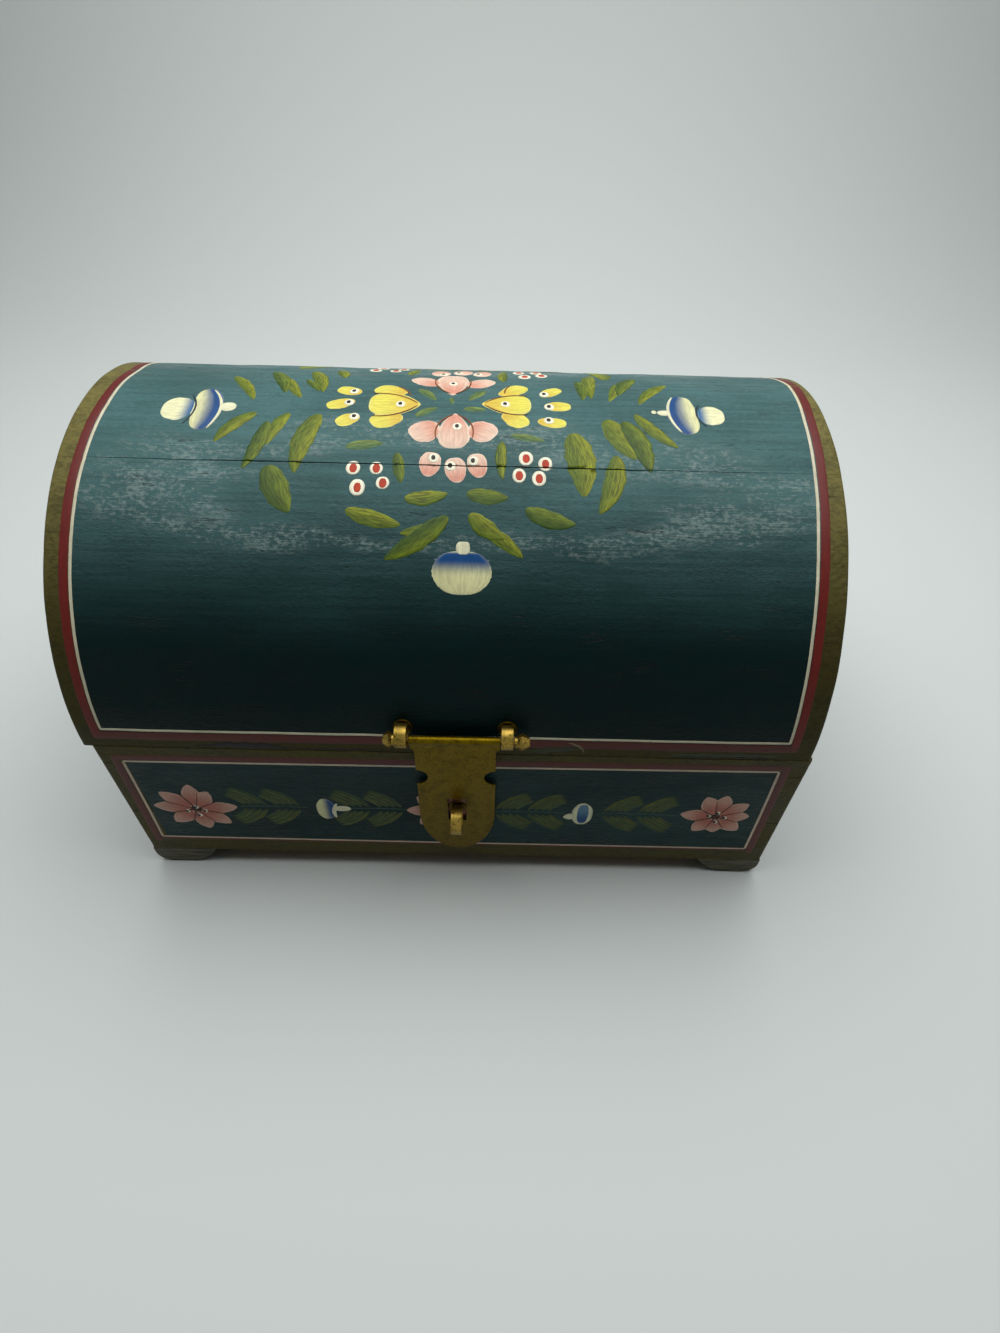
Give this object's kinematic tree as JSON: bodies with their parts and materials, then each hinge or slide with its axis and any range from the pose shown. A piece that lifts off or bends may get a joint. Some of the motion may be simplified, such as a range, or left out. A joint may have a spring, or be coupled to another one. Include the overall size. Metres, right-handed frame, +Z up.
{
  "type": "dome-top trinket box",
  "caption": "Small painted wooden box with a barrel lid on back hinges, block feet, and a hasp plate that swings on a rod over a latch eye.",
  "frame": {"origin": "centre of the footprint of the whole box, on the surface that it stands on", "axes": "+X along the box towards its right end as seen from the front, +Y from the hasp towards the hinges, +Z up"},
  "size_m": [0.2022, 0.1571, 0.1312],
  "materials": {
    "painted_wood": "hand-painted teal under an aged gloss varnish, with a brown-green border",
    "foot_paint": "worn brown-green paint",
    "bare_wood": "unpainted, planed",
    "old_brass": "tarnished"
  },
  "bodies": {
    "base": {"front_board": "painted_wood", "back_board": "painted_wood", "left_side_board": "painted_wood", "right_side_board": "painted_wood", "bottom_board": "bare_wood", "foot_front_left": "foot_paint", "foot_front_right": "foot_paint", "foot_back_left": "foot_paint", "foot_back_right": "foot_paint", "latch_eye": "old_brass", "latch_washer": "old_brass", "base_hinge_leaf_left": "old_brass", "base_hinge_leaf_right": "old_brass", "hinge_pin_left": "old_brass", "hinge_pin_right": "old_brass", "base_hinge_nails": "old_brass"},
    "lid": {"lid_end_left": "painted_wood", "lid_end_right": "painted_wood", "lid_stave_01": "painted_wood", "lid_stave_02": "painted_wood", "lid_stave_03": "painted_wood", "lid_stave_04": "painted_wood", "lid_stave_05": "painted_wood", "lid_stave_06": "painted_wood", "lid_stave_07": "painted_wood", "lid_stave_08": "painted_wood", "lid_stave_09": "painted_wood", "lid_stave_10": "painted_wood", "lid_stave_11": "painted_wood", "rod_eye_left": "old_brass", "rod_eye_right": "old_brass", "rod_eye_washer_left": "old_brass", "rod_eye_washer_right": "old_brass", "rod_knob_left": "old_brass", "rod_knob_right": "old_brass", "hasp_rod": "old_brass", "lid_hinge_leaf_left": "old_brass", "lid_hinge_leaf_right": "old_brass", "lid_hinge_nails": "old_brass"},
    "hasp": {"hasp_plate": "old_brass"}
  },
  "joints": [
    {"name": "lid_open", "type": "hinge", "parent": "base", "child": "lid", "pos_m": [0, 0.0768, 0.0616], "axis": [-1, 0, 0], "range_deg": [0, 105]},
    {"name": "hasp_swing", "type": "hinge", "parent": "lid", "child": "hasp", "pos_m": [0, -0.07191, 0.0707], "axis": [-1, 0, 0], "range_deg": [0, 205]}
  ]
}
